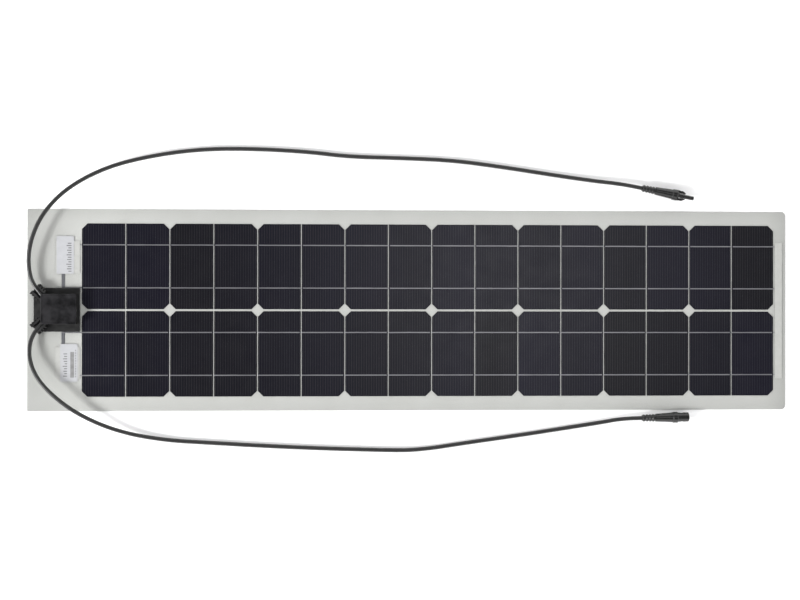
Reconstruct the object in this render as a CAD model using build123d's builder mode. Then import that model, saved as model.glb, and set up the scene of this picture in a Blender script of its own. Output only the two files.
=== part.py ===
from build123d import *
import os
from math import radians, tan

# Flexible solar sheet: a thin laminate of half cells in two rows, with a junction box bonded on its
# left margin and two leads that end in a plug and a socket.
# Millimetres. The origin is the centre of the sheet's back, +X along the sheet away from the
# junction box, +Y across it towards the plug lead, +Z out of the front face.

# ---------------------------------------------------------------- driving dimensions
SHEET_LENGTH = 1120.0
SHEET_WIDTH = 295.0
BACKSHEET_THICKNESS = 0.9
FRONT_THICKNESS = 1.2          # clear front film with the encapsulant bonded under it
LEFT_CORNER_RADIUS = 1.5
RIGHT_CORNER_RADIUS = 6.5

CELL_WIDTH = 62.5              # half of a 125 mm pseudo-square cell
CELL_HEIGHT = 125.0
CELL_THICKNESS = 0.2
CELL_CORNER = 8.0              # 45 degree cut at the outer corners of each pair of half cells
CELL_GAP = 1.5
ROW_GAP = 3.0
LEFT_MARGIN = 79.0
CELLS_PER_ROW = 16
SECTIONS = 8                   # each section is one pair of half cells in each row
SECTION_CLEARANCE = 0.2

RIBBON_WIDTH = 1.6
RIBBON_THICKNESS = 0.2
RIBBON_OFFSET = 31.4           # each of a cell's two ribbons from the cell's centre line
BUS_WIDTH = 4.8
TERMINAL_BUS_X = -508.0
CROSS_BUS_X = 549.5

BOX_CENTRE = (-512.0, 1.5)     # centre of the raised housing
HOUSING_LENGTH = 51.0
HOUSING_WIDTH = 44.0
HOUSING_WALL = 2.2
HOUSING_CORNER = 10.0
CORNER_SHRINK = 0.6            # a cut corner gets this much shorter for each unit of inset
HOUSING_TOP = 14.6
FLANGE_LENGTH = 67.0
FLANGE_WIDTH = 64.0
FLANGE_CENTRE = (-516.5, 0.5)
FLANGE_CORNER = 11.0
FLANGE_THICKNESS = 2.5
PAD_THICKNESS = 0.8
GASKET_THICKNESS = 0.4
LID_THICKNESS = 2.2

CABLE_DIAMETER = 6.0
CORE_DIAMETER = 2.6
CABLE_HEIGHT_IN_BOX = 9.6
CABLE_CLEARANCE = 0.1

TAIL_LENGTH = 20.5
ARC_SHARE = 0.45               # how much of the shorter run beside a bend its arc takes up

# Routes of the two leads: from the jacket's end in the junction box, out along its outlet, over the
# sheet's margin in a low arch, down to the surface beside the sheet and along it to the connector.
POSITIVE_ROUTE = [
    (-527.3, 11.3, 9.6),
    (-550.0, 34.0, 9.6),
    (-556.6, 66.5, 12.5),
    (-551.6, 101.5, 18.0),
    (-533.6, 140.4, 21.5),
    (-499.5, 176.6, 20.0),
    (-448.0, 206.6, 12.0),
    (-385.0, 224.8, 4.5),
    (-310.0, 236.0, 3.0),
    (-232.0, 237.0, 3.0),
    (-150.0, 232.8, 3.0),
    (-95.0, 226.2, 3.0),
    (-20.0, 224.6, 3.0),
    (62.0, 221.6, 3.0),
    (140.0, 211.4, 3.0),
    (214.0, 200.2, 3.0),
    (275.0, 191.6, 4.6),
    (312.5, 187.4, 8.3),
    (342.0, 181.6, 8.3),
]
NEGATIVE_ROUTE = [
    (-527.3, -8.3, 9.6),
    (-549.5, -30.5, 9.6),
    (-556.2, -62.0, 12.5),
    (-545.6, -94.6, 17.5),
    (-519.4, -124.2, 19.5),
    (-481.0, -152.8, 16.0),
    (-428.0, -176.6, 8.5),
    (-364.0, -189.8, 3.6),
    (-292.0, -194.3, 3.0),
    (-210.0, -199.3, 3.0),
    (-128.0, -203.0, 3.0),
    (-52.0, -205.4, 3.0),
    (8.0, -206.5, 3.0),
    (86.0, -194.8, 3.0),
    (160.0, -184.6, 3.0),
    (226.0, -174.6, 3.0),
    (282.0, -165.8, 4.6),
    (313.0, -159.8, 8.3),
    (342.0, -159.2, 8.3),
]

# ---------------------------------------------------------------- derived dimensions
SHEET_TOP = BACKSHEET_THICKNESS + FRONT_THICKNESS
SHEET_LEFT = -SHEET_LENGTH / 2
ARRAY_LEFT = SHEET_LEFT + LEFT_MARGIN
CELL_PITCH = CELL_WIDTH + CELL_GAP
ROW_CENTRE = (CELL_HEIGHT + ROW_GAP) / 2
CELL_BOTTOM = BACKSHEET_THICKNESS + 0.4
CELL_TOP = CELL_BOTTOM + CELL_THICKNESS
CABLE_RADIUS = CABLE_DIAMETER / 2
PAD_TOP = SHEET_TOP + PAD_THICKNESS
FLANGE_TOP = PAD_TOP + FLANGE_THICKNESS
LID_BOTTOM = HOUSING_TOP + GASKET_THICKNESS
OUTLETS = [(POSITIVE_ROUTE, 1), (NEGATIVE_ROUTE, -1)]

os.makedirs("parts", exist_ok=True)


def save(builder, name):
    """Label a finished piece and write it under its name."""
    builder.part.label = name
    export_step(builder.part, f"parts/{name}.step")


def cell_left(index):
    """Left edge of half cell number index in either row, counted from the junction box."""
    return ARRAY_LEFT + CELL_PITCH * index


def section_span(section):
    """Lowest and highest X of a section of the sheet, numbered from 1 at the junction box."""
    hinge = SECTION_CLEARANCE / 2
    low = cell_left(2 * section - 2) - CELL_GAP / 2 + hinge
    high = cell_left(2 * section) - CELL_GAP / 2 - hinge
    if section == 1:
        low = SHEET_LEFT
    if section == SECTIONS:
        high = -SHEET_LEFT
    return low, high


def section_slab(section, bottom, thickness):
    """Add one section of a layer of the sheet, with the sheet's corners rounded on the end sections."""
    low, high = section_span(section)
    with BuildSketch(Plane.XY.offset(bottom)) as outline:
        with Locations(((low + high) / 2, 0)):
            Rectangle(high - low, SHEET_WIDTH)
        if section == 1:
            fillet(outline.vertices().group_by(Axis.X)[0], radius=LEFT_CORNER_RADIUS)
        if section == SECTIONS:
            fillet(outline.vertices().group_by(Axis.X)[-1], radius=RIGHT_CORNER_RADIUS)
    extrude(outline.sketch, amount=thickness)


# ---------------------------------------------------------------- cells and ribbons
def half_cell_outline(cut_side):
    """Corners of a half cell about its centre; its two outer corners are cut at 45 degrees."""
    half_w = CELL_WIDTH / 2
    half_h = CELL_HEIGHT / 2
    corners = [
        (-half_w, -half_h),
        (half_w - CELL_CORNER, -half_h),
        (half_w, CELL_CORNER - half_h),
        (half_w, half_h - CELL_CORNER),
        (half_w - CELL_CORNER, half_h),
        (-half_w, half_h),
    ]
    return [(cut_side * x, y) for x, y in corners]


def section_cells(section):
    """The four half cells of a section."""
    with BuildPart() as cells:
        with BuildSketch(Plane.XY.offset(CELL_BOTTOM)):
            for side, index in ((-1, 2 * section - 2), (1, 2 * section - 1)):
                x = cell_left(index) + CELL_WIDTH / 2
                with Locations((x, ROW_CENTRE), (x, -ROW_CENTRE)):
                    Polygon(*half_cell_outline(side), align=None)
        extrude(amount=CELL_THICKNESS)
    return cells


def link_profile(link, direction):
    """XZ outline of the ribbon from the front of one half cell to the back of the next one.

    link counts the gaps from 0, left of the first cell, to CELLS_PER_ROW, right of the last. The
    string runs to the right for direction 1 and comes back to the left for direction -1.
    """
    front_cell = link - 1 if direction == 1 else link
    back_cell = link if direction == 1 else link - 1
    gap = cell_left(link) - CELL_GAP / 2
    near = direction * (CELL_GAP / 2 - 0.2)
    reach_front = cell_left(front_cell) + (1.5 if direction == 1 else CELL_WIDTH - 1.5)
    reach_back = cell_left(back_cell) + (CELL_WIDTH - 6 if direction == 1 else 6)
    front = (CELL_TOP, CELL_TOP + RIBBON_THICKNESS)
    back = (CELL_BOTTOM - RIBBON_THICKNESS, CELL_BOTTOM)
    if link == 0 or link == CELLS_PER_ROW:
        bus = TERMINAL_BUS_X - BUS_WIDTH / 2 if link == 0 else CROSS_BUS_X + BUS_WIDTH / 2
        on_front = (link == 0) == (direction == -1)
        low, high = front if on_front else back
        reach = reach_front if on_front else reach_back
        return [(bus, low), (reach, low), (reach, high), (bus, high)]
    return [
        (reach_front, front[1]),
        (gap - near, front[1]),
        (gap + near, back[1]),
        (reach_back, back[1]),
        (reach_back, back[0]),
        (gap + near - direction * 0.1, back[0]),
        (gap - near - direction * 0.1, front[0]),
        (reach_front, front[0]),
    ]


def section_ribbons(section):
    """The parts of the connecting ribbons that lie in a section."""
    low, high = section_span(section)
    with BuildPart() as ribbons:
        for direction in (1, -1):
            for link in range(2 * section - 2, 2 * section + 1):
                for offset in (-RIBBON_OFFSET, RIBBON_OFFSET):
                    y = direction * ROW_CENTRE + offset
                    with BuildSketch(Plane((0, y, 0), x_dir=(1, 0, 0), z_dir=(0, -1, 0))):
                        Polygon(*link_profile(link, direction), align=None)
                    extrude(amount=RIBBON_WIDTH / 2, both=True)
        with Locations(((low + high) / 2, 0, 0)):
            Box(high - low, SHEET_WIDTH, 10, mode=Mode.INTERSECT)
    return ribbons


# ---------------------------------------------------------------- buses and cover strips
TAB_Y = 4.5                    # the bus tabs and terminal blocks, from the housing's centre line
TAB_TOP = 10.5
BUS_END = ROW_CENTRE + RIBBON_OFFSET + 2.5
STRIP_INNER_Y = 54.0
STRIP_OUTER_Y = 101.0
STRIP_LEFT_X = -519.0
STRIP_RIGHT_X = -484.0
STRIP_BOTTOM = CELL_TOP + RIBBON_THICKNESS
STRIP_THICKNESS = 0.15


with BuildPart() as terminal_ribbons:
    for side in (1, -1):
        tab = BOX_CENTRE[1] + side * TAB_Y
        inner = tab - side * RIBBON_THICKNESS
        with Locations((TERMINAL_BUS_X, (inner + side * BUS_END) / 2, (CELL_BOTTOM + CELL_TOP) / 2)):
            Box(BUS_WIDTH, abs(side * BUS_END - inner), RIBBON_THICKNESS)
        with Locations((TERMINAL_BUS_X, (inner + tab) / 2, (CELL_TOP + TAB_TOP) / 2)):
            Box(BUS_WIDTH, RIBBON_THICKNESS, TAB_TOP - CELL_TOP)

with BuildPart() as cross_ribbon:
    with Locations((CROSS_BUS_X, 0, (CELL_BOTTOM + CELL_TOP) / 2)):
        Box(BUS_WIDTH, 2 * BUS_END, RIBBON_THICKNESS)

with BuildPart() as cover_strips_left:
    with BuildSketch(Plane.XY.offset(STRIP_BOTTOM)):
        for side in (1, -1):
            middle = side * (STRIP_INNER_Y + STRIP_OUTER_Y) / 2
            with Locations(((STRIP_LEFT_X + STRIP_RIGHT_X) / 2, middle)):
                Rectangle(STRIP_RIGHT_X - STRIP_LEFT_X, STRIP_OUTER_Y - STRIP_INNER_Y)
    extrude(amount=STRIP_THICKNESS)

with BuildPart() as cover_strip_right:
    with BuildSketch(Plane.XY.offset(STRIP_BOTTOM)):
        with Locations((CROSS_BUS_X, 0)):
            Rectangle(BUS_WIDTH + 6, 2 * STRIP_OUTER_Y)
    extrude(amount=STRIP_THICKNESS)

# Two printed labels on the front film, above and below the junction box.
with BuildPart() as labels:
    with BuildSketch(Plane.XY.offset(SHEET_TOP)):
        with Locations((-505.0, 80.5), (-499.5, -77.0)):
            Rectangle(25, 55)
        fillet(vertices(), radius=1.5)
    extrude(amount=0.1)


def tab_slots(bottom, height):
    """Cut the two slots that let the bus tabs up into the junction box."""
    for side in (1, -1):
        y = BOX_CENTRE[1] + side * (TAB_Y - RIBBON_THICKNESS / 2)
        with Locations((TERMINAL_BUS_X, y, bottom + height / 2)):
            Box(BUS_WIDTH + 0.6, RIBBON_THICKNESS + 0.8, height, mode=Mode.SUBTRACT)


# ---------------------------------------------------------------- sections of the sheet
for section in range(1, SECTIONS + 1):
    cells = section_cells(section)
    ribbons = section_ribbons(section)

    with BuildPart() as backsheet:
        section_slab(section, 0, BACKSHEET_THICKNESS)

    with BuildPart() as front_sheet:
        section_slab(section, BACKSHEET_THICKNESS, FRONT_THICKNESS)
        add(cells.part, mode=Mode.SUBTRACT)
        add(ribbons.part, mode=Mode.SUBTRACT)
        if section == 1:
            add(terminal_ribbons.part, mode=Mode.SUBTRACT)
            add(cover_strips_left.part, mode=Mode.SUBTRACT)
            tab_slots(CELL_TOP, SHEET_TOP - CELL_TOP)
        if section == SECTIONS:
            add(cross_ribbon.part, mode=Mode.SUBTRACT)
            add(cover_strip_right.part, mode=Mode.SUBTRACT)

    save(backsheet, f"backsheet_{section}")
    save(front_sheet, f"front_sheet_{section}")
    save(cells, f"cells_{section}")
    save(ribbons, f"ribbons_{section}")

save(terminal_ribbons, "terminal_ribbons")
save(cross_ribbon, "cross_ribbon")
save(cover_strips_left, "cover_strips_left")
save(cover_strip_right, "cover_strip_right")
save(labels, "labels")

# ---------------------------------------------------------------- junction box
OUTLET_GAP = 9.0
OUTLET_WALL = 2.6
OUTLET_TOOTH = 2.5
OUTLET_MOUTH = 29.8            # each outlet's mouth across the sheet from the housing's centre line
OUTLET_MOUTH_X = -547.3
OUTLET_TOP = 13.0
SEAL_RADIUS = 4.0
SEAL_LENGTH = 3.0


def outlet_plane(side, z):
    """Plane at an outlet's mouth: local X runs inwards along the cable, Y across it, Z up."""
    mouth = (OUTLET_MOUTH_X, BOX_CENTRE[1] + side * OUTLET_MOUTH, z)
    return Plane(mouth, x_dir=(1, -side, 0), z_dir=(0, 0, 1))


def housing_outline(inset):
    """Sketch of the raised housing, inset all round, with its two left corners cut."""
    with Locations(BOX_CENTRE):
        Rectangle(HOUSING_LENGTH - 2 * inset, HOUSING_WIDTH - 2 * inset)


def left_vertices(sketch):
    """The vertices of a sketch's left edge."""
    return sketch.vertices().group_by(Axis.X)[0]


def wall_ring(bottom, height, outer_inset, inner_inset):
    """Add a ring that follows the housing's wall between two insets."""
    with BuildSketch(Plane.XY.offset(bottom)) as outer:
        housing_outline(outer_inset)
        chamfer(left_vertices(outer), length=HOUSING_CORNER - CORNER_SHRINK * outer_inset)
    extrude(outer.sketch, amount=height)
    with BuildSketch(Plane.XY.offset(bottom)) as inner:
        housing_outline(inner_inset)
        chamfer(left_vertices(inner), length=HOUSING_CORNER - CORNER_SHRINK * inner_inset)
    extrude(inner.sketch, amount=height, mode=Mode.SUBTRACT)


# The outer face of the cut corner, measured in from the outlet's mouth along the cable.
CORNER_X = BOX_CENTRE[0] - HOUSING_LENGTH / 2
CORNER_Y = HOUSING_WIDTH / 2
CORNER_DEPTH = (CORNER_X - OUTLET_MOUTH_X + OUTLET_MOUTH - CORNER_Y + HOUSING_CORNER) / 2 ** 0.5

with BuildPart() as junction_box_pad:
    with BuildSketch(Plane.XY.offset(SHEET_TOP)) as outline:
        with Locations(FLANGE_CENTRE):
            Rectangle(FLANGE_LENGTH - 3, FLANGE_WIDTH - 3)
        chamfer(left_vertices(outline), length=FLANGE_CORNER)
    extrude(amount=PAD_THICKNESS)
    tab_slots(SHEET_TOP, PAD_THICKNESS)
save(junction_box_pad, "junction_box_pad")

with BuildPart() as junction_box_base:
    with BuildSketch(Plane.XY.offset(PAD_TOP)) as outline:
        with Locations(FLANGE_CENTRE):
            Rectangle(FLANGE_LENGTH, FLANGE_WIDTH)
        chamfer(left_vertices(outline), length=FLANGE_CORNER)
        fillet(outline.vertices().group_by(Axis.X)[-1], radius=2)
    extrude(amount=FLANGE_THICKNESS)
    flange_rim = faces().sort_by(Axis.Z)[-1].outer_wire().edges()
    chamfer(flange_rim, length=0.6)
    wall_ring(FLANGE_TOP - 0.5, HOUSING_TOP - FLANGE_TOP + 0.5, 0, HOUSING_WALL)
    # The outlets: a floor and two toothed walls each, open at the top.
    for side in (1, -1):
        with BuildSketch(outlet_plane(side, PAD_TOP)):
            with Locations((CORNER_DEPTH / 2, 0)):
                Rectangle(CORNER_DEPTH, OUTLET_GAP + 2 * (OUTLET_WALL + OUTLET_TOOTH))
        extrude(amount=FLANGE_THICKNESS)
        with BuildSketch(outlet_plane(side, PAD_TOP)):
            wall_middle = (OUTLET_GAP + OUTLET_WALL) / 2
            with Locations((CORNER_DEPTH / 2, wall_middle), (CORNER_DEPTH / 2, -wall_middle)):
                Rectangle(CORNER_DEPTH, OUTLET_WALL)
            tooth_middle = OUTLET_GAP / 2 + OUTLET_WALL + OUTLET_TOOTH / 2
            for tooth in range(4):
                x = 1.0 + 4.2 * tooth
                with Locations((x, tooth_middle), (x, -tooth_middle)):
                    Rectangle(2, OUTLET_TOOTH + 0.2)
            for tooth in range(4):
                x = 8.4 + 2.6 * tooth
                with Locations((x, OUTLET_GAP / 2 - 0.2), (x, 0.2 - OUTLET_GAP / 2)):
                    Rectangle(1.2, 1.2)
        extrude(amount=OUTLET_TOP - PAD_TOP)
    # Clear the inside of the housing, then cut the seats of the cable seals.
    with BuildSketch(Plane.XY.offset(FLANGE_TOP)) as inside:
        housing_outline(HOUSING_WALL)
        chamfer(left_vertices(inside), length=HOUSING_CORNER - CORNER_SHRINK * HOUSING_WALL)
    extrude(amount=HOUSING_TOP, mode=Mode.SUBTRACT)
    for side in (1, -1):
        mouth = outlet_plane(side, CABLE_HEIGHT_IN_BOX)
        seal_start = mouth.origin + mouth.x_dir * (CORNER_DEPTH - 1)
        with BuildSketch(Plane(seal_start, x_dir=(0, 0, 1), z_dir=mouth.x_dir)):
            Circle(SEAL_RADIUS)
        extrude(amount=HOUSING_WALL + 3, mode=Mode.SUBTRACT)
    tab_slots(PAD_TOP, FLANGE_THICKNESS)
save(junction_box_base, "junction_box_base")

with BuildPart() as lid_gasket:
    wall_ring(HOUSING_TOP, GASKET_THICKNESS, 0.4, HOUSING_WALL - 0.4)
save(lid_gasket, "lid_gasket")

with BuildPart() as junction_box_lid:
    with BuildSketch(Plane.XY.offset(LID_BOTTOM)) as outline:
        housing_outline(0)
        fillet(outline.vertices(), radius=2)
    extrude(amount=LID_THICKNESS)
    lid_edge = faces().sort_by(Axis.Z)[-1].outer_wire().edges()
    fillet(lid_edge, radius=0.6)
    with BuildSketch(Plane.XY.offset(LID_BOTTOM + LID_THICKNESS - 0.5)) as recess:
        housing_outline(2)
        fillet(recess.vertices(), radius=1.5)
    extrude(amount=1, mode=Mode.SUBTRACT)
    wall_ring(LID_BOTTOM - 1.1, 1.1, HOUSING_WALL + 0.3, HOUSING_WALL + 1.5)
save(junction_box_lid, "junction_box_lid")

# ---------------------------------------------------------------- inside the junction box
BLOCK_LEFT = -524.0
BLOCK_LENGTH = 21.0
BLOCK_WIDTH = 8.0
BLOCK_HEIGHT = 5.8
BLOCK_CENTRE_X = BLOCK_LEFT + BLOCK_LENGTH / 2
SCREW_XS = (-519.5, -506.5)

with BuildPart() as terminal_blocks:
    for side in (1, -1):
        y = BOX_CENTRE[1] + side * (TAB_Y + BLOCK_WIDTH / 2)
        with Locations((BLOCK_CENTRE_X, y, FLANGE_TOP + BLOCK_HEIGHT / 2)):
            Box(BLOCK_LENGTH, BLOCK_WIDTH, BLOCK_HEIGHT)
        with Locations(*[(x, y, FLANGE_TOP + BLOCK_HEIGHT) for x in SCREW_XS]):
            Hole(radius=1.5, depth=BLOCK_HEIGHT - 1)
save(terminal_blocks, "terminal_blocks")

with BuildPart() as terminal_screws:
    for side in (1, -1):
        y = BOX_CENTRE[1] + side * (TAB_Y + BLOCK_WIDTH / 2)
        for x in SCREW_XS:
            with BuildSketch(Plane.XY.offset(FLANGE_TOP + 1.5)):
                with Locations((x, y)):
                    Circle(1.4)
            extrude(amount=BLOCK_HEIGHT - 1.5)
            with BuildSketch(Plane.XY.offset(FLANGE_TOP + BLOCK_HEIGHT)):
                with Locations((x, y)):
                    Circle(2.8)
            extrude(amount=1.6)
            with BuildSketch(Plane.XY.offset(FLANGE_TOP + BLOCK_HEIGHT + 0.9)):
                with Locations((x, y)):
                    Rectangle(6, 0.8)
            extrude(amount=2, mode=Mode.SUBTRACT)
save(terminal_screws, "terminal_screws")

DIODE_X = -515.0
DIODE_HEIGHT = 8.4

with BuildPart() as bypass_diode:
    across = Plane((DIODE_X, BOX_CENTRE[1], DIODE_HEIGHT), x_dir=(1, 0, 0), z_dir=(0, 1, 0))
    with BuildSketch(across):
        Circle(1.9)
    extrude(amount=2.9, both=True)
    with BuildSketch(across):
        Circle(0.5)
    extrude(amount=TAB_Y, both=True)
save(bypass_diode, "bypass_diode")

with BuildPart() as cable_seals:
    for side in (1, -1):
        mouth = outlet_plane(side, CABLE_HEIGHT_IN_BOX)
        seal_start = mouth.origin + mouth.x_dir * (CORNER_DEPTH - 0.6)
        with BuildSketch(Plane(seal_start, x_dir=(0, 0, 1), z_dir=mouth.x_dir)):
            Circle(SEAL_RADIUS)
            Circle(CABLE_RADIUS + CABLE_CLEARANCE, mode=Mode.SUBTRACT)
        extrude(amount=SEAL_LENGTH)
save(cable_seals, "cable_seals")

CLAMP_DEPTH = CORNER_DEPTH + 3.4     # the clamps' near face, in from the outlet's mouth
CLAMP_THICKNESS = 3.4
CLAMP_SPAN = 11.2
CLAMP_TOP = 13.6
CLAMP_SCREW_OFFSET = 4.45

with BuildPart() as cable_clamps:
    for side in (1, -1):
        plane = outlet_plane(side, FLANGE_TOP)
        with BuildSketch(plane):
            with Locations((CLAMP_DEPTH + CLAMP_THICKNESS / 2, 0)):
                Rectangle(CLAMP_THICKNESS, CLAMP_SPAN)
        extrude(amount=CLAMP_TOP - FLANGE_TOP)
        start = plane.origin + plane.x_dir * CLAMP_DEPTH + Vector(0, 0, CABLE_HEIGHT_IN_BOX - FLANGE_TOP)
        with BuildSketch(Plane(start, x_dir=(0, 0, 1), z_dir=plane.x_dir)):
            Circle(CABLE_RADIUS + CABLE_CLEARANCE)
        extrude(amount=CLAMP_THICKNESS, mode=Mode.SUBTRACT)
        with BuildSketch(plane):
            with Locations(*[(CLAMP_DEPTH + CLAMP_THICKNESS / 2, y)
                             for y in (-CLAMP_SCREW_OFFSET, CLAMP_SCREW_OFFSET)]):
                Circle(0.95)
        extrude(amount=CLAMP_TOP - FLANGE_TOP, mode=Mode.SUBTRACT)
save(cable_clamps, "cable_clamps")

with BuildPart() as clamp_screws:
    for side in (1, -1):
        plane = outlet_plane(side, FLANGE_TOP)
        for y in (-CLAMP_SCREW_OFFSET, CLAMP_SCREW_OFFSET):
            with BuildSketch(plane):
                with Locations((CLAMP_DEPTH + CLAMP_THICKNESS / 2, y)):
                    Circle(0.9)
            extrude(amount=CLAMP_TOP - FLANGE_TOP)
save(clamp_screws, "clamp_screws")


# ---------------------------------------------------------------- leads
def lead(route, name):
    """Sweep a lead's jacket along straight runs joined by tangent arcs."""
    points = [Vector(*point) for point in route]
    runs = [b - a for a, b in zip(points, points[1:])]
    radii = []
    for before, after in zip(runs, runs[1:]):
        half_turn = radians(before.get_angle(after)) / 2
        radii.append(ARC_SHARE * min(before.length, after.length) / tan(half_turn))
    with BuildPart() as jacket:
        with BuildLine():
            FilletPolyline(*points, radius=radii)
        with BuildSketch(Plane(points[0], z_dir=runs[0])):
            Circle(CABLE_RADIUS)
        sweep()
    save(jacket, name)


lead(POSITIVE_ROUTE, "cable_positive")
lead(NEGATIVE_ROUTE, "cable_negative")


# ---------------------------------------------------------------- plug and socket
def connector_plane(route):
    """Plane at the rear of a connector: local X forward along its axis, Z up."""
    end = Vector(*route[-1])
    forward = end - Vector(*route[-2])
    return Plane(end, x_dir=forward, z_dir=(0, 0, 1))


def turned(plane, profile, mode=Mode.ADD):
    """Revolve a profile of (distance from the rear, radius) points about a connector's axis."""
    with BuildSketch(plane) as half:
        Polygon(*profile, align=None)
    revolve(half.sketch, axis=Axis(plane.origin, plane.x_dir), mode=mode)


def drilled(plane, start, end, radius):
    """Cut a round hole along a connector's axis."""
    turned(plane, [(start, 0), (end, 0), (end, radius), (start, radius)], mode=Mode.SUBTRACT)


BODY_PROFILE = [               # cone and shoulder ring shared by plug and socket
    (TAIL_LENGTH, 0),
    (TAIL_LENGTH, 5.7),
    (46.0, 7.2),
    (46.8, 8.0),
    (52.7, 8.2),
    (53.5, 7.7),
]
CORE_BORE = 1.4
CRIMP_BORE = 2.5
plug_axis = connector_plane(POSITIVE_ROUTE)
socket_axis = connector_plane(NEGATIVE_ROUTE)


def tail(plane, name):
    """Ribbed bend relief moulded on a lead, with a ring and three ribs."""
    with BuildPart() as relief:
        turned(plane, [(0, 0), (0, 3.8), (TAIL_LENGTH, 4.6), (TAIL_LENGTH, 0)])
        for start in (1.6, 6.4, 11.0, 15.6):
            rib = 5.1 + 0.02 * start
            turned(plane, [(start, 0), (start, rib - 0.4), (start + 0.5, rib), (start + 2.5, rib),
                           (start + 3.0, rib - 0.4), (start + 3.0, 0)])
        drilled(plane, 0, TAIL_LENGTH, CORE_BORE)
    save(relief, name)


tail(plug_axis, "plug_tail")
tail(socket_axis, "socket_tail")

PLUG_BORE = 2.85
ARM_OUTLINE = [                # one latch arm, distance from the rear and from the axis
    (53.0, 4.4),
    (53.0, 7.8),
    (58.5, 7.0),
    (60.5, 7.4),
    (65.5, 4.8),
    (65.5, 3.4),
    (57.6, 3.4),
    (57.2, 4.4),
]

with BuildPart() as plug_body:
    turned(plug_axis, BODY_PROFILE + [(53.5, 0)])
    drilled(plug_axis, TAIL_LENGTH, 40, CRIMP_BORE)
    drilled(plug_axis, 40, 54, PLUG_BORE)
    for side in (1, -1):
        with BuildSketch(plug_axis):
            Polygon(*[(x, side * y) for x, y in ARM_OUTLINE], align=None)
        extrude(amount=3, both=True)
save(plug_body, "plug_body")

NOSE_START = 67.0
NOSE_RADIUS = 3.0

with BuildPart() as plug_insert:
    turned(plug_axis, [(40, 0), (40, 2.8), (NOSE_START, 2.8), (NOSE_START, NOSE_RADIUS),
                       (78.4, NOSE_RADIUS), (79, 2.4), (79, 0)])
    drilled(plug_axis, 40, 79, CORE_BORE + 0.15)
save(plug_insert, "plug_insert")

with BuildPart() as plug_contact:
    turned(plug_axis, [(24, 0), (24, 2.3), (34, 2.3), (36, CORE_BORE), (77, CORE_BORE), (77, 0)])
    drilled(plug_axis, 24, 32, CORE_DIAMETER / 2 + 0.05)
    drilled(plug_axis, 66, 77, 0.8)
save(plug_contact, "plug_contact")

with BuildPart() as plug_seal:
    turned(plug_axis, [(54, PLUG_BORE), (54, 4.2), (56.4, 4.2), (56.4, PLUG_BORE)])
save(plug_seal, "plug_seal")

SOCKET_FRONT = 70.0
SOCKET_BORE = 3.1
SOCKET_DEPTH = 9.0

with BuildPart() as socket_body:
    turned(socket_axis, BODY_PROFILE + [(53.5, 6.9), (69.2, 6.9), (SOCKET_FRONT, 6.2), (SOCKET_FRONT, 0)])
    drilled(socket_axis, TAIL_LENGTH, 36, CRIMP_BORE)
    drilled(socket_axis, 36, SOCKET_FRONT - SOCKET_DEPTH, 2.0)
    drilled(socket_axis, SOCKET_FRONT - SOCKET_DEPTH, SOCKET_FRONT, SOCKET_BORE)
    for side in (1, -1):
        with BuildSketch(socket_axis):
            with Locations((60, side * 6.8)):
                Rectangle(5, 2.4)
        extrude(amount=3.2, both=True, mode=Mode.SUBTRACT)
save(socket_body, "socket_body")

with BuildPart() as socket_contact:
    turned(socket_axis, [(24, 0), (24, 2.3), (34, 2.3), (35, 1.9), (60, 1.9), (60, 0)])
    drilled(socket_axis, 24, 32, CORE_DIAMETER / 2 + 0.05)
    drilled(socket_axis, 46, 60, CORE_BORE)
save(socket_contact, "socket_contact")

# Copper cores: the bared ends in the junction box and in the two connectors.
with BuildPart() as cable_cores:
    for route, side in OUTLETS:
        start = Vector(*route[0])
        inwards = Vector(1, -side, 0)
        with BuildSketch(Plane(start, z_dir=inwards)):
            Circle(CORE_DIAMETER / 2)
        extrude(amount=12)
    with Locations((BLOCK_LEFT + 50, 0, 0)):
        Box(100, 100, 60, mode=Mode.SUBTRACT)
    for plane in (plug_axis, socket_axis):
        turned(plane, [(0, 0), (0, CORE_DIAMETER / 2), (30, CORE_DIAMETER / 2), (30, 0)])
save(cable_cores, "cable_cores")
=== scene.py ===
import math

import bmesh
import bpy
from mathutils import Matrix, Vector


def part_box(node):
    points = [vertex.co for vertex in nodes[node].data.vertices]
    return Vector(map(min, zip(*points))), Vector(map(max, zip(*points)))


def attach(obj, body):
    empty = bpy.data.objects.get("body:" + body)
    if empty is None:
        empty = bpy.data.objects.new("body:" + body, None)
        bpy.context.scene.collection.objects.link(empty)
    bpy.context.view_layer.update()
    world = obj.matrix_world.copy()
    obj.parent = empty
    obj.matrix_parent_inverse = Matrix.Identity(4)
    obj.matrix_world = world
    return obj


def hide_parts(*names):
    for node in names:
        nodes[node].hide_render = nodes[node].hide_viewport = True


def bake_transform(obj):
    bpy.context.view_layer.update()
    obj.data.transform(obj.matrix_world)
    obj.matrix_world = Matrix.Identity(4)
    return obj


# Flexible solar sheet, in metres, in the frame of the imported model: X along the sheet, Z up.
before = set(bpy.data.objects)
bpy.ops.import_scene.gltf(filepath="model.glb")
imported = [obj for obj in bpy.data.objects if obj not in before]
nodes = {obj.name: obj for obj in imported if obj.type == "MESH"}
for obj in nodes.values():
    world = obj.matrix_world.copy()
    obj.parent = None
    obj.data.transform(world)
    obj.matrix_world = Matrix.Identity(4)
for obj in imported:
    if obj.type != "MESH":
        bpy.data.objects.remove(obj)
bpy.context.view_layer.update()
MM = 0.001

# ---------------------------------------------------------------- camera
camera = bpy.data.objects.new("camera", bpy.data.cameras.new("camera"))
bpy.context.scene.collection.objects.link(camera)
camera.location = (-0.1023, 0.0104, 1.9172)
camera.rotation_euler = (0.0025, -0.0448, 0.0011)
camera.data.lens = 58.5
bpy.context.scene.camera = camera

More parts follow.
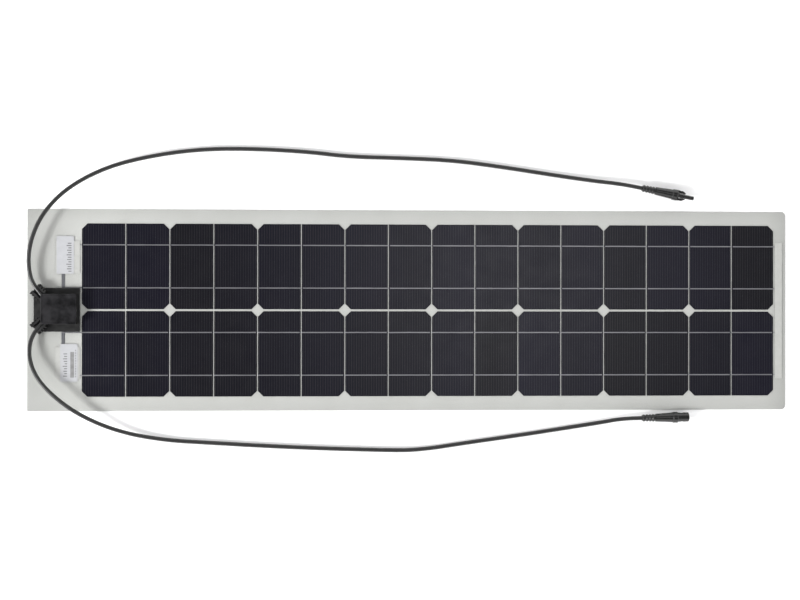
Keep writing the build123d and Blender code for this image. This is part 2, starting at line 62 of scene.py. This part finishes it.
# ---------------------------------------------------------------- laminate dimensions
SECTIONS = 8
CELLS_PER_ROW = 16
CELL_PITCH = 64 * MM
CELL_WIDTH = 62.5 * MM
CELL_GAP = CELL_PITCH - CELL_WIDTH
ROW_GAP = 3 * MM
CELL_CORNER = 8 * MM
RIBBON_WIDTH = 1.6 * MM
RIBBON_THICKNESS = 0.2 * MM
RIBBON_OFFSET = 31.4 * MM
FINGERS = 17
FINGER_WIDTH = 0.3 * MM
FINGER_HEIGHT = 0.02 * MM
FINGER_SINK = 0.01 * MM        # how far a finger reaches into its cell
FINGER_INSET = 1.2 * MM        # from a finger's end to the edge of its cell
SOLDER_INSET = 1.5 * MM        # from a ribbon's end to the edge of the cell that it lies on
BACK_INSET = 6 * MM            # the same on the back of the next cell
LINK_CLEARANCE = 0.2 * MM      # from the ribbon's bend to the cells beside the gap
BACKING_TOP = 1.08 * MM
FILM_BOTTOM = 1.1 * MM
EDGE_BAND = 7 * MM             # the laminate thins over this width at its edges
EDGE_DROP = 0.25 * MM
ARRIS_WIDTH = 0.4 * MM
ARRIS_DROP = 0.3 * MM
LEFT_CORNER_RADIUS = 1.5 * MM
RIGHT_CORNER_RADIUS = 6.5 * MM
STEP = 16 * MM                 # greatest length of a face along a piece that bends

sheet_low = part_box("backsheet_1")[0]
sheet_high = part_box(f"front_sheet_{SECTIONS}")[1]
cell_boxes = [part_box(f"cells_{n}") for n in range(1, SECTIONS + 1)]
middles = [(low.x + high.x) / 2 for low, high in cell_boxes]
strip_ends = [sheet_low.x, *middles, sheet_high.x]
cells_low, cells_high = cell_boxes[0]
half_height = (cells_high.y - cells_low.y - ROW_GAP) / 4
row_centre = cells_high.y - half_height


# ---------------------------------------------------------------- materials
class Finish:
    """A procedural material, with short calls for the nodes that the materials here share."""

    def __init__(self, name, **sockets):
        self.material = bpy.data.materials.new(name)
        self.material.use_nodes = True
        self.tree = self.material.node_tree
        self.shader = self.tree.nodes["Principled BSDF"]
        self.place = self.tree.nodes.new("ShaderNodeTexCoord").outputs["Object"]
        for socket, value in sockets.items():
            self.shader.inputs[socket.replace("_", " ")].default_value = value

    def node(self, kind, inputs=(), **settings):
        """Add a node; inputs maps its sockets to numbers, vectors or the sockets that feed them."""
        node = self.tree.nodes.new("ShaderNode" + kind)
        for name, value in settings.items():
            setattr(node, name, value)
        for socket, value in dict(inputs).items():
            if isinstance(value, bpy.types.NodeSocket):
                self.tree.links.new(value, node.inputs[socket])
            else:
                node.inputs[socket].default_value = value
        return node

    def link(self, source, socket):
        self.tree.links.new(source, self.shader.inputs[socket])

    def noise(self, scale, detail=3.0, stretch=(1, 1, 1)):
        """Noise over the object, with scale features a metre before the stretch of each axis."""
        mapping = self.node("Mapping", {"Vector": self.place, "Scale": stretch})
        texture = self.node("TexNoise", {"Vector": mapping.outputs["Vector"], "Scale": scale,
                                         "Detail": detail})
        return texture.outputs["Fac"]

    def axis(self, name, low, high):
        """0 to 1 along one axis of the object, from low to high."""
        split = self.node("SeparateXYZ", {"Vector": self.place})
        span = self.node("MapRange", {"Value": split.outputs[name], "From Min": low, "From Max": high})
        return span.outputs["Result"]

    def ramp(self, factor, *stops):
        """Colour ramp through stops of (position, colour)."""
        ramp = self.node("ValToRGB", {"Fac": factor})
        elements = ramp.color_ramp.elements
        while len(elements) < len(stops):
            elements.new(0.5)
        for element, (position, colour) in zip(elements, stops):
            element.position = position
            element.color = (*colour, 1)
        return ramp.outputs["Color"]

    def times(self, a, b):
        """Two colours multiplied."""
        mix = self.node("MixRGB", {"Fac": 1.0, "Color1": a, "Color2": b}, blend_type="MULTIPLY")
        return mix.outputs["Color"]

    def bump(self, height, distance, strength=1.0):
        bump = self.node("Bump", {"Height": height, "Distance": distance, "Strength": strength})
        self.link(bump.outputs["Normal"], "Normal")


def grey(value):
    return (value, value, value)


def sheet_white():
    """Off-white laminate with a faint mottle, and painted shade: greyer towards both ends and both long
    edges, with a painted lighter band by the junction box.
    """
    low, high = sheet_low, sheet_high
    made = Finish("white_backsheet", Roughness=0.45)
    mottle = made.ramp(made.noise(14, 4), (0.3, (0.415, 0.42, 0.4)), (0.7, (0.445, 0.45, 0.433)))
    # Painted shade along the sheet: darker at both ends, with a painted lighter band just right of the
    # junction box.
    along = made.ramp(made.axis("X", low.x, high.x), (0.0, grey(0.86)), (0.03, grey(0.95)),
                      (0.07, grey(1.06)), (0.2, grey(0.97)), (0.6, grey(1.0)), (0.975, grey(1.0)),
                      (0.99, grey(0.9)), (1.0, grey(0.84)))
    # Painted shade across the sheet: greyer along both long edges.
    across = made.ramp(made.axis("Y", low.y, high.y), (0.0, grey(0.93)), (0.06, grey(1.0)),
                       (0.94, grey(1.0)), (1.0, grey(0.92)))
    made.link(made.times(made.times(mottle, along), across), "Base Color")
    made.bump(made.noise(700, 3), 0.00002, 0.5)
    return made.material


def silicon():
    """Near-black cells with an anti-reflection tint that differs a little from cell to cell."""
    made = Finish("silicon", Specular_IOR_Level=0.3)
    shift = made.node("VectorMath", {0: made.place, 1: (0.481, 0.128, 0)}, operation="ADD")
    step = made.node("VectorMath", {0: shift.outputs["Vector"], 1: (CELL_PITCH, 0.128, 1)},
                     operation="SNAP")
    each = made.node("TexWhiteNoise", {"Vector": step.outputs["Vector"]}).outputs["Value"]
    tint = made.ramp(each, (0.0, (0.0026, 0.0024, 0.0045)), (0.5, (0.0029, 0.0026, 0.0072)),
                     (1.0, (0.0036, 0.0032, 0.0092)))
    streaks = made.ramp(made.noise(20, 3, (1, 0.2, 1)), (0.3, grey(0.85)), (0.7, grey(1.15)))
    made.link(made.times(tint, streaks), "Base Color")
    made.link(made.ramp(made.noise(45, 3), (0.3, grey(0.28)), (0.7, grey(0.35))), "Roughness")
    made.bump(made.noise(2600, 2), 0.00001, 0.4)
    return made.material


def clear_film():
    """Clear satin front film over the cells."""
    made = Finish("front_film", Base_Color=(0.02, 0.02, 0.02, 1), Alpha=0.03, IOR=1.42)
    made.link(made.ramp(made.noise(30, 3), (0.3, grey(0.24)), (0.7, grey(0.3))), "Roughness")
    made.bump(made.noise(900, 3), 0.00003, 0.5)
    return made.material


def moulded(name, dark, light, roughness, grain, depth, **sockets):
    """Moulded plastic or rubber with a fine grain and a patchy sheen."""
    made = Finish(name, **sockets)
    made.link(made.ramp(made.noise(60, 3), (0.3, grey(dark)), (0.7, grey(light))), "Base Color")
    low, high = roughness
    made.link(made.ramp(made.noise(140, 4), (0.3, grey(low)), (0.7, grey(high))), "Roughness")
    made.bump(made.noise(grain, 3), depth, 0.6)
    return made.material


def lid_plastic():
    """The lid's mottled, slightly chalky top over the same black plastic."""
    made = Finish("black_lid", Specular_IOR_Level=0.2)
    patches = made.noise(85, 5)
    made.link(made.ramp(patches, (0.32, (0.0035, 0.0035, 0.0038)), (0.5, (0.0078, 0.0075, 0.0087)),
                        (0.68, (0.0132, 0.0126, 0.0144))), "Base Color")
    made.link(made.ramp(patches, (0.35, grey(0.34)), (0.65, grey(0.6))), "Roughness")
    made.bump(made.noise(1500, 3), 0.00005, 0.6)
    return made.material


def metal(name, dark, light, roughness, grain=(1, 1, 1)):
    """Bare metal with faint streaks."""
    made = Finish(name, Metallic=1.0)
    made.link(made.ramp(made.noise(220, 3, grain), (0.3, dark), (0.7, light)), "Base Color")
    low, high = roughness
    made.link(made.ramp(made.noise(400, 3, grain), (0.3, grey(low)), (0.7, grey(high))), "Roughness")
    made.bump(made.noise(2500, 2, grain), 0.00001, 0.4)
    return made.material


def printed(name, dark, light):
    """Label stock or ink, faintly uneven."""
    made = Finish(name, Roughness=0.4)
    made.link(made.ramp(made.noise(160, 3), (0.3, dark), (0.7, light)), "Base Color")
    made.bump(made.noise(1800, 2), 0.00001, 0.4)
    return made.material


white = sheet_white()
cell_silicon = silicon()
film = clear_film()
silver_print = printed("silver_print", (0.032, 0.032, 0.036), (0.044, 0.044, 0.049))
tinned = metal("tinned_ribbon", (0.28, 0.28, 0.3), (0.37, 0.37, 0.39), (0.36, 0.5), (0.1, 3, 1))
bus_metal = metal("tinned_bus", (0.18, 0.185, 0.2), (0.24, 0.245, 0.26), (0.4, 0.55), (3, 0.1, 1))
strip_white = printed("cover_strip", (0.4, 0.403, 0.385), (0.43, 0.433, 0.415))
label_stock = printed("label_stock", (0.385, 0.39, 0.405), (0.41, 0.415, 0.43))
label_ink = printed("label_ink", (0.12, 0.12, 0.125), (0.18, 0.18, 0.185))
label_grey = printed("label_grey", (0.17, 0.17, 0.17), (0.24, 0.24, 0.24))
black_housing = moulded("black_housing", 0.004, 0.007, (0.36, 0.55), 2200, 0.00006)
lid_black = lid_plastic()
connector_black = moulded("black_connector", 0.004, 0.007, (0.18, 0.3), 2600, 0.00003)
tail_rubber = moulded("black_rubber", 0.005, 0.008, (0.24, 0.38), 3000, 0.00003)
cable_jacket = moulded("cable_jacket", 0.006, 0.01, (0.36, 0.5), 2600, 0.00003)
silicone = moulded("black_silicone", 0.01, 0.016, (0.4, 0.55), 1200, 0.00003)
diode_black = moulded("diode_black", 0.006, 0.01, (0.3, 0.45), 2400, 0.00002)
brass = metal("brass", (0.6, 0.45, 0.2), (0.75, 0.58, 0.3), (0.28, 0.4))
steel = metal("plated_steel", (0.55, 0.55, 0.55), (0.7, 0.7, 0.7), (0.25, 0.38))
copper = metal("copper", (0.7, 0.35, 0.2), (0.85, 0.45, 0.3), (0.3, 0.45))

# ---------------------------------------------------------------- leads
CABLE_DIAMETER = 6 * MM
POSITIVE_ROUTE = [
    (-0.5273, 0.0113, 0.0096),
    (-0.5500, 0.0340, 0.0096),
    (-0.5566, 0.0665, 0.0125),
    (-0.5516, 0.1015, 0.0180),
    (-0.5336, 0.1404, 0.0215),
    (-0.4995, 0.1766, 0.0200),
    (-0.4480, 0.2066, 0.0120),
    (-0.3850, 0.2248, 0.0045),
    (-0.3100, 0.2360, 0.0030),
    (-0.2320, 0.2370, 0.0030),
    (-0.1500, 0.2328, 0.0030),
    (-0.0950, 0.2262, 0.0030),
    (-0.0200, 0.2246, 0.0030),
    (0.0620, 0.2216, 0.0030),
    (0.1400, 0.2114, 0.0030),
    (0.2140, 0.2002, 0.0030),
    (0.2750, 0.1916, 0.0046),
    (0.3125, 0.1874, 0.0083),
    (0.3420, 0.1816, 0.0083),
]
NEGATIVE_ROUTE = [
    (-0.5273, -0.0083, 0.0096),
    (-0.5495, -0.0305, 0.0096),
    (-0.5562, -0.0620, 0.0125),
    (-0.5456, -0.0946, 0.0175),
    (-0.5194, -0.1242, 0.0195),
    (-0.4810, -0.1528, 0.0160),
    (-0.4280, -0.1766, 0.0085),
    (-0.3640, -0.1898, 0.0036),
    (-0.2920, -0.1943, 0.0030),
    (-0.2100, -0.1993, 0.0030),
    (-0.1280, -0.2030, 0.0030),
    (-0.0520, -0.2054, 0.0030),
    (0.0080, -0.2065, 0.0030),
    (0.0860, -0.1948, 0.0030),
    (0.1600, -0.1846, 0.0030),
    (0.2260, -0.1746, 0.0030),
    (0.2820, -0.1658, 0.0046),
    (0.3130, -0.1598, 0.0083),
    (0.3420, -0.1592, 0.0083),
]


def lead(name, route):
    """A free lead along the route, standing for the CAD tube of the same name."""
    curve = bpy.data.curves.new(name + "_jacket", "CURVE")
    curve.dimensions = "3D"
    curve.bevel_depth = CABLE_DIAMETER / 2
    curve.bevel_resolution = 6
    curve.resolution_u = 24
    curve.use_fill_caps = True
    spline = curve.splines.new("NURBS")
    spline.points.add(len(route) - 1)
    for point, place in zip(spline.points, route):
        point.co = (*place, 1)
    spline.order_u = 3
    spline.use_endpoint_u = True
    piece = bpy.data.objects.new(name + "_jacket", curve)
    bpy.context.scene.collection.objects.link(piece)
    curve.materials.append(cable_jacket)
    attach(piece, "section_1")
    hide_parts(name)
    return piece


lead("cable_positive", POSITIVE_ROUTE)
lead("cable_negative", NEGATIVE_ROUTE)


# ---------------------------------------------------------------- mesh helpers
class Solids:
    """Closed solids gathered into one mesh."""

    def __init__(self):
        self.mesh = bmesh.new()

    def loft(self, rings):
        """Add a closed solid through rings that all have the same number of points."""
        rows = [[self.mesh.verts.new(point) for point in ring] for ring in rings]
        self.mesh.faces.new(rows[0])
        self.mesh.faces.new(rows[-1])
        for row, after in zip(rows, rows[1:]):
            for i in range(len(row)):
                self.mesh.faces.new((row[i - 1], row[i], after[i], after[i - 1]))

    def bar(self, stations):
        """Add a bar along X through stations of (x, low y, high y, low z, high z)."""
        self.loft([[(x, y0, z0), (x, y1, z0), (x, y1, z1), (x, y0, z1)]
                   for x, y0, y1, z0, z1 in stations])

    def piece(self, name, material):
        """Turn the gathered solids into an object with one material."""
        bmesh.ops.recalc_face_normals(self.mesh, faces=self.mesh.faces)
        mesh = bpy.data.meshes.new(name)
        self.mesh.to_mesh(mesh)
        self.mesh.free()
        mesh.materials.append(material)
        made = bpy.data.objects.new(name, mesh)
        bpy.context.scene.collection.objects.link(made)
        return made


def spread(low, high, *also):
    """Values from low to high, no more than a step apart, with the others that lie between them."""
    count = math.ceil((high - low) / STEP)
    even = [low + (high - low) * i / count for i in range(count + 1)]
    return sorted(even + [value for value in also if low < value < high])


# ---------------------------------------------------------------- laminate
# The laminate bends along its length. It is made in strips that run from the middle of one section
# to the middle of the next, so that each strip spans the joint between two sections.
def carry(piece, strip, layer):
    """Ride an end strip on its section, or leave another strip, which spans two sections, fixed in place
    with its transform baked in.
    """
    numbers = [n for n in (strip, strip + 1) if 1 <= n <= SECTIONS]
    bodies = [f"section_{n}" for n in numbers]
    if len(bodies) == 1:
        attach(piece, bodies[0])
    else:
        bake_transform(piece)
    if layer:
        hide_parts(*[f"{layer}_{n}" for n in numbers])


def edge_drop(inset):
    """How much lower the laminate's front is at a distance in from its edge."""
    part = max(0.0, 1 - inset / EDGE_BAND)
    return EDGE_DROP * part * part


def edge_round(inset):
    """The extra drop of the film's rounded arris."""
    return ARRIS_DROP * max(0.0, 1 - inset / ARRIS_WIDTH) ** 2


def half_width(x):
    """Half the sheet's width at x, less where its corners are rounded."""
    half = sheet_high.y
    for inset, radius in ((x - sheet_low.x, LEFT_CORNER_RADIUS), (sheet_high.x - x, RIGHT_CORNER_RADIUS)):
        if inset < radius:
            return half - radius + math.sqrt(max(0.0, radius ** 2 - (radius - inset) ** 2))
    return half


def sheet_stations(strip):
    """Values of x for a layer of a strip, close together at a rounded or thinned end."""
    insets = [0.05, 0.2, 0.4, 0.8, 1.5, 2.5, 4, 5.5, 7]
    near_ends = [sheet_low.x + i * MM for i in insets] + [sheet_high.x - i * MM for i in insets]
    return spread(strip_ends[strip], strip_ends[strip + 1], *near_ends)


def sheet_layer(strip, bottom, top, arris):
    """A layer of the laminate over the whole width of a strip."""
    rings = []
    for x in sheet_stations(strip):
        end_inset = min(x - sheet_low.x, sheet_high.x - x)
        half = half_width(x)
        insets = [i * MM for i in (0, 0.1, 0.25, 0.4, 1.5, 3, 5, 7)]
        across = [(i - half, i) for i in insets] + [(half - i, i) for i in reversed(insets)]
        lower, upper = [], []
        for y, inset in across:
            drop = edge_drop(min(inset, end_inset))
            rounding = edge_round(min(inset, end_inset)) if arris else 0.0
            lower.append((x, y, bottom - drop if bottom > 0 else 0.0))
            upper.append((x, y, top - drop - rounding))
        rings.append(lower + upper[::-1])
    layer = Solids()
    layer.loft(rings)
    return layer


def cell_left(index):
    """The left edge of a half cell, counted from the junction box."""
    return cells_low.x + CELL_PITCH * index


def strip_cells(strip):
    """The half cells of each row that lie in a strip."""
    return [index for index in (2 * strip - 1, 2 * strip) if 0 <= index < CELLS_PER_ROW]


def cell_half(index, x):
    """Half the height of a half cell at x. Its outer corners are cut at 45 degrees."""
    left = cell_left(index)
    inset = x - left if index % 2 == 0 else left + CELL_WIDTH - x
    return half_height - max(0.0, CELL_CORNER - inset)


def link_path(link, direction):
    """Points (x, z) of a ribbon's centre over one gap between half cells, from left to right.

    The ribbon runs from the front of one half cell to the back of the next: to the right in the row
    for direction 1, and to the left in the row for direction -1.
    """
    front_z = cells_high.z + RIBBON_THICKNESS / 2
    back_z = cells_low.z - RIBBON_THICKNESS / 2
    gap = cell_left(link) - CELL_GAP / 2
    near = CELL_GAP / 2 - LINK_CLEARANCE
    left_z, right_z = (front_z, back_z) if direction == 1 else (back_z, front_z)
    left_reach = SOLDER_INSET if direction == 1 else BACK_INSET
    right_reach = BACK_INSET if direction == 1 else SOLDER_INSET
    left = (cell_left(link - 1) + left_reach, left_z)
    right = (cell_left(link) + CELL_WIDTH - right_reach, right_z)
    if link == 0:
        return [(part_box("terminal_ribbons")[0].x, right_z), right]
    if link == CELLS_PER_ROW:
        return [left, (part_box("cross_ribbon")[1].x, left_z)]
    return [left, (gap - near, left_z), (gap + near, right_z), right]


def height_on(path, x):
    """Height of a path at x."""
    for (x0, z0), (x1, z1) in zip(path, path[1:]):
        if x <= x1:
            return z0 + (z1 - z0) * (x - x0) / (x1 - x0)
    return path[-1][1]


def strip_ribbons(strip):
    """The connecting ribbons of both rows that lie in a strip."""
    ribbons = Solids()
    low, high = strip_ends[strip], strip_ends[strip + 1]
    for direction in (1, -1):
        for link in range(max(0, 2 * strip - 1), min(2 * strip + 2, CELLS_PER_ROW + 1)):
            path = link_path(link, direction)
            start, end = max(low, path[0][0]), min(high, path[-1][0])
            stations = spread(start, end, *[x for x, z in path])
            for offset in (-RIBBON_OFFSET, RIBBON_OFFSET):
                y = direction * row_centre + offset
                half = RIBBON_WIDTH / 2
                middle = [height_on(path, x) for x in stations]
                ribbons.bar([(x, y - half, y + half, z - RIBBON_THICKNESS / 2, z + RIBBON_THICKNESS / 2)
                             for x, z in zip(stations, middle)])
    return ribbons


for strip in range(SECTIONS + 1):
    backing = sheet_layer(strip, 0, BACKING_TOP, False).piece(f"backing_{strip}", white)
    carry(backing, strip, "backsheet")

    wafers, fingers = Solids(), Solids()
    for index in strip_cells(strip):
        left = cell_left(index)
        cut_end = left + CELL_CORNER if index % 2 == 0 else left + CELL_WIDTH - CELL_CORNER
        for y in (row_centre, -row_centre):
            stations = [(x, y - cell_half(index, x), y + cell_half(index, x), cells_low.z, cells_high.z)
                        for x in spread(left, left + CELL_WIDTH, cut_end)]
            wafers.bar(stations)
            for finger in range(FINGERS):
                x = left + CELL_WIDTH * (finger + 0.5) / FINGERS
                half = cell_half(index, x) - FINGER_INSET
                z = cells_high.z
                fingers.bar([(x + side * FINGER_WIDTH / 2, y - half, y + half, z - FINGER_SINK,
                              z + FINGER_HEIGHT) for side in (-1, 1)])
    carry(wafers.piece(f"half_cells_{strip}", cell_silicon), strip, "cells")
    carry(fingers.piece(f"cell_fingers_{strip}", silver_print), strip, None)
    carry(strip_ribbons(strip).piece(f"cell_ribbons_{strip}", tinned), strip, "ribbons")

    front = sheet_layer(strip, FILM_BOTTOM, sheet_high.z, True).piece(f"film_{strip}", film)
    carry(front, strip, "front_sheet")

# ---------------------------------------------------------------- labels
INK_HEIGHT = 0.01 * MM
INK_SINK = 0.005 * MM
INK_CORNER = 0.3 * MM
LABEL_CORNER = 1.5 * MM
BLOCK_CORNER = 0.2 * MM
labels_low, labels_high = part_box("labels")


def outline(low, high, radius, z):
    """Points around a rectangle in the XY plane with rounded corners."""
    points = []
    corners = ((high[0], high[1], 0), (low[0], high[1], 90), (low[0], low[1], 180), (high[0], low[1], 270))
    for x, y, start in corners:
        cx = x - radius if x == high[0] else x + radius
        cy = y - radius if y == high[1] else y + radius
        for turn in (0, 30, 60, 90):
            angle = math.radians(start + turn)
            points.append((cx + radius * math.cos(angle), cy + radius * math.sin(angle), z))
    return points


def patch(solids, low, high, radius, bottom, top):
    """Add a thin rounded patch between two corners given in millimetres."""
    low, high = [v * MM for v in low], [v * MM for v in high]
    solids.loft([outline(low, high, radius, z) for z in (bottom, top)])


stock, ink, pale_ink = Solids(), Solids(), Solids()
for low, high in (((-517.5, 53), (-492.5, 108)), ((-512, -104.5), (-487, -49.5))):
    patch(stock, low, high, LABEL_CORNER, labels_low.z, labels_high.z)
ink_base = labels_high.z - INK_SINK
ink_top = labels_high.z + INK_HEIGHT
for row, length in enumerate((4.5, 6.5, 5.5, 7.5, 4.5, 6.5, 5.5, 7.0, 5.0, 6.5, 4.5, 7.0, 5.5)):
    y = 56 + 3.4 * row
    patch(ink, (-496 - length, y), (-496, y + 1.4), INK_CORNER, ink_base, ink_top)
for row, length in enumerate((6.0, 4.0, 5.5, 4.5, 6.5, 3.5, 5.0, 6.0, 4.5, 5.5)):
    y = -97 + 3.6 * row
    patch(ink, (-502 - length, y), (-502, y + 1.4), INK_CORNER, ink_base, ink_top)
patch(pale_ink, (-497.5, -98.5), (-492, -61), INK_CORNER, ink_base, ink_top)
for row in range(11):
    y = -98 + 3.8 * row
    patch(pale_ink, (-490.6, y), (-489.2, y + 2.2), BLOCK_CORNER, ink_base, ink_top)
for piece in (stock.piece("label_stock", label_stock), ink.piece("label_marks", label_ink),
              pale_ink.piece("label_blocks", label_grey)):
    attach(piece, "section_1")
    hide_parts("labels")

# ---------------------------------------------------------------- CAD nodes
finishes = {
    "backsheet": white,
    "front_sheet": film,
    "cells": cell_silicon,
    "ribbons": tinned,
    "terminal_ribbons": bus_metal,
    "cross_ribbon": bus_metal,
    "cover_strips_left": strip_white,
    "cover_strip_right": strip_white,
    "labels": label_stock,
    "junction_box_pad": silicone,
    "junction_box_base": black_housing,
    "junction_box_lid": lid_black,
    "lid_gasket": silicone,
    "terminal_blocks": brass,
    "terminal_screws": steel,
    "bypass_diode": diode_black,
    "cable_seals": silicone,
    "cable_clamps": black_housing,
    "clamp_screws": steel,
    "cable_cores": copper,
    "cable_positive": cable_jacket,
    "cable_negative": cable_jacket,
    "plug_tail": tail_rubber,
    "plug_body": connector_black,
    "plug_insert": connector_black,
    "plug_contact": steel,
    "plug_seal": silicone,
    "socket_tail": tail_rubber,
    "socket_body": connector_black,
    "socket_contact": steel,
}
for name, node in nodes.items():
    node.data.materials.clear()
    node.data.materials.append(finishes[name.rstrip("_12345678")])

# ---------------------------------------------------------------- floor and lights
FLOOR_HEIGHT = -0.2 * MM
FLOOR_REACH = 6
floor_corners = [(-FLOOR_REACH, -FLOOR_REACH), (FLOOR_REACH, -FLOOR_REACH),
                 (FLOOR_REACH, FLOOR_REACH), (-FLOOR_REACH, FLOOR_REACH)]
floor_mesh = bpy.data.meshes.new("floor")
floor_mesh.from_pydata([(x, y, FLOOR_HEIGHT) for x, y in floor_corners], [], [(0, 1, 2, 3)])
floor = bpy.data.objects.new("floor", floor_mesh)
bpy.context.scene.collection.objects.link(floor)
floor_finish = Finish("floor", Roughness=0.9)
floor_tone = floor_finish.ramp(floor_finish.noise(3, 2), (0.3, grey(0.92)), (0.7, grey(0.94)))
floor_finish.link(floor_tone, "Base Color")
floor_mesh.materials.append(floor_finish.material)


def area_light(name, place, aim, size, power):
    """A square lamp that faces a point."""
    light = bpy.data.lights.new(name, "AREA")
    light.shape = "SQUARE"
    light.size = size
    light.energy = power
    lamp = bpy.data.objects.new(name, light)
    bpy.context.scene.collection.objects.link(lamp)
    lamp.location = place
    lamp.rotation_euler = (Vector(aim) - Vector(place)).to_track_quat("-Z", "Y").to_euler()


area_light("key", (-3.8, -1.73, 2.38), (-0.4, 0, 0), 0.9, 240)
area_light("sheen", (0.54, 0.15, 3.4), (0.13, 0.06, 0), 1.0, 8.5)

# White walls all round and a dark ceiling, so that the glossy blacks seen from above stay black.
world = bpy.data.worlds.new("world")
world.use_nodes = True
room = world.node_tree
direction = room.nodes.new("ShaderNodeTexCoord").outputs["Generated"]
upward = room.nodes.new("ShaderNodeSeparateXYZ")
ceiling = room.nodes.new("ShaderNodeValToRGB")
room.links.new(direction, upward.inputs["Vector"])
room.links.new(upward.outputs["Z"], ceiling.inputs["Fac"])
room.links.new(ceiling.outputs["Color"], room.nodes["Background"].inputs["Color"])
ceiling.color_ramp.elements[0].position = 0.55
ceiling.color_ramp.elements[0].color = (1, 1, 1, 1)
ceiling.color_ramp.elements[1].position = 0.86
ceiling.color_ramp.elements[1].color = (0.02, 0.02, 0.024, 1)
room.nodes["Background"].inputs["Strength"].default_value = 2.1
bpy.context.scene.world = world
bpy.context.scene.view_settings.view_transform = "Standard"
